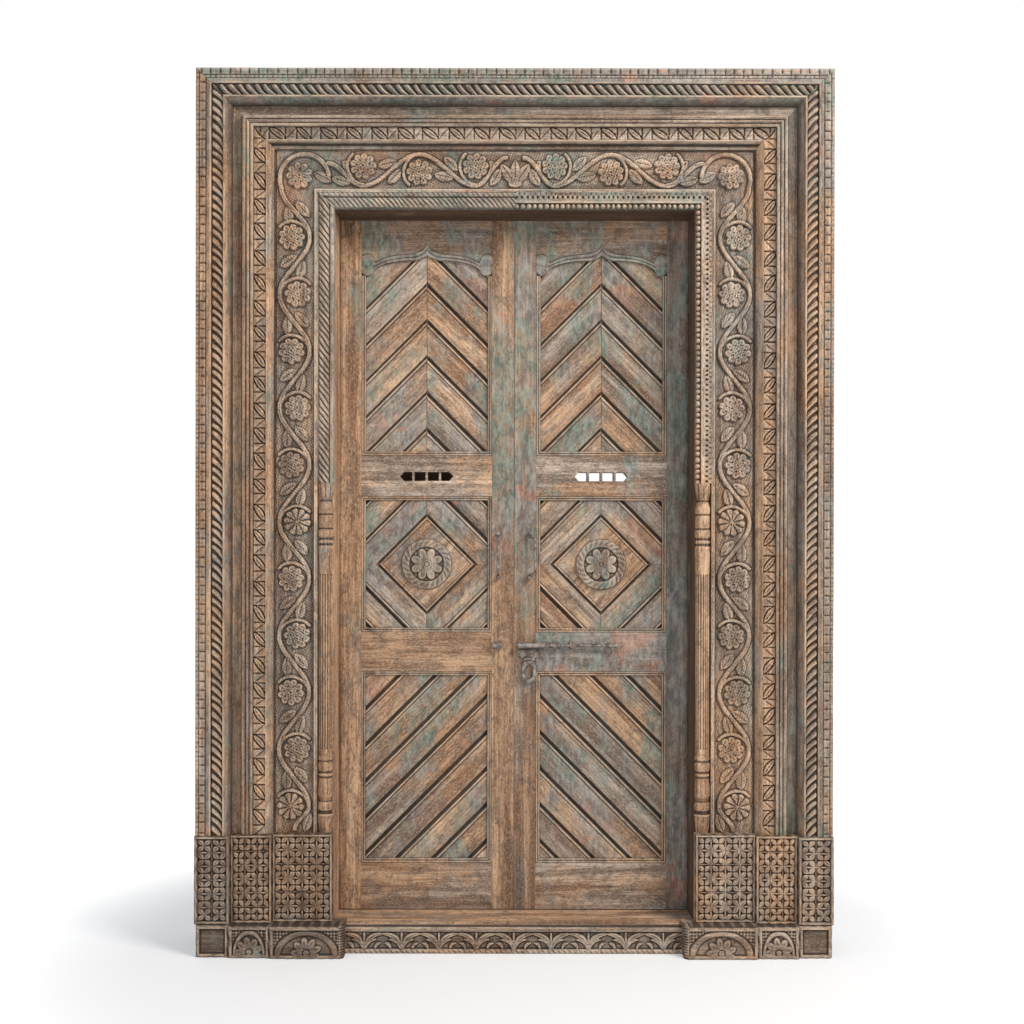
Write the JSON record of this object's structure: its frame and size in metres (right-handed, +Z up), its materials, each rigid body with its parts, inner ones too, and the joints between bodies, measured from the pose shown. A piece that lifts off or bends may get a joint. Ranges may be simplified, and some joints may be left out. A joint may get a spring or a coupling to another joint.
{
  "type": "carved double door",
  "caption": "Carved wooden double door in its own deep moulded frame, with plank-filled leaves, slide bolt, hasp and pulls.",
  "frame": {"origin": "middle of the footprint, on the floor under the door", "axes": "+Z up, -Y out of the carved front, +X to the right seen from the front"},
  "size_m": [1.816, 0.26, 2.526],
  "materials": {
    "frame_wood": "old weathered teak, dark in the carving, with traces of blue-green paint",
    "leaf_wood": "worn warm teak, waxed, with traces of blue-green paint",
    "iron": "forged iron, dark brown, rubbed bright on its edges"
  },
  "bodies": {
    "frame": {"jamb_left": "frame_wood", "jamb_right": "frame_wood", "lintel": "frame_wood", "threshold": "frame_wood", "threshold_frieze": "frame_wood", "rope_left": "frame_wood", "rope_head": "frame_wood", "rope_right": "frame_wood", "vine_left": "frame_wood", "vine_head": "frame_wood", "vine_right": "frame_wood", "zigzag_left": "frame_wood", "zigzag_head": "frame_wood", "zigzag_right": "frame_wood", "cove_left": "frame_wood", "cove_head": "frame_wood", "cove_right": "frame_wood", "surround_left": "frame_wood", "surround_head": "frame_wood", "surround_right": "frame_wood", "column_left": "frame_wood", "column_right": "frame_wood", "plinth_inner_left": "frame_wood", "plinth_inner_right": "frame_wood", "plinth_middle_left": "frame_wood", "plinth_middle_right": "frame_wood", "plinth_outer_left": "frame_wood", "plinth_outer_right": "frame_wood", "base_left": "frame_wood", "base_right": "frame_wood"},
    "left_leaf": {"hinge_stile_left": "leaf_wood", "meeting_stile_left": "leaf_wood", "top_rail_left": "leaf_wood", "slot_rail_left": "leaf_wood", "lock_rail_left": "leaf_wood", "bottom_rail_left": "leaf_wood", "chevron_boards_left": "leaf_wood", "diamond_boards_left": "leaf_wood", "slant_boards_left": "leaf_wood", "rosette_left": "leaf_wood", "slot_cover_left": "leaf_wood", "bolt_keeper": "iron", "pull_eyes_left": "iron"},
    "right_leaf": {"hinge_stile_right": "leaf_wood", "meeting_stile_right": "leaf_wood", "top_rail_right": "leaf_wood", "slot_rail_right": "leaf_wood", "lock_rail_right": "leaf_wood", "bottom_rail_right": "leaf_wood", "chevron_boards_right": "leaf_wood", "diamond_boards_right": "leaf_wood", "slant_boards_right": "leaf_wood", "rosette_right": "leaf_wood", "bolt_guides": "iron", "hasp_plate": "iron", "pull_eyes_right": "iron"},
    "bolt": {"bolt_rod": "iron"},
    "hasp": {"hasp_drop": "iron"},
    "left_pull": {"pull_left": "iron"},
    "right_pull": {"pull_right": "iron"}
  },
  "joints": [
    {"name": "left_leaf_swing", "type": "hinge", "parent": "frame", "child": "left_leaf", "pos_m": [-0.5075, 0.1025, 0.087], "axis": [0, 0, 1], "range_deg": [0, 90]},
    {"name": "right_leaf_swing", "type": "hinge", "parent": "frame", "child": "right_leaf", "pos_m": [0.5075, 0.1025, 0.087], "axis": [0, 0, -1], "range_deg": [0, 90]},
    {"name": "bolt_slide", "type": "slide", "parent": "right_leaf", "child": "bolt", "axis": [1, 0, 0], "range_m": [-0.102, 0]},
    {"name": "hasp_swing", "type": "hinge", "parent": "right_leaf", "child": "hasp", "pos_m": [0.046, 0.071, 0.832], "axis": [-1, 0, 0], "range_deg": [0, 80]},
    {"name": "left_pull_swing", "type": "hinge", "parent": "left_leaf", "child": "left_pull", "pos_m": [-0.047, 0.071, 1.14], "axis": [0, 0, 1], "range_deg": [-80, 80]},
    {"name": "right_pull_swing", "type": "hinge", "parent": "right_leaf", "child": "right_pull", "pos_m": [0.047, 0.071, 1.14], "axis": [0, 0, 1], "range_deg": [-117, 43]}
  ]
}
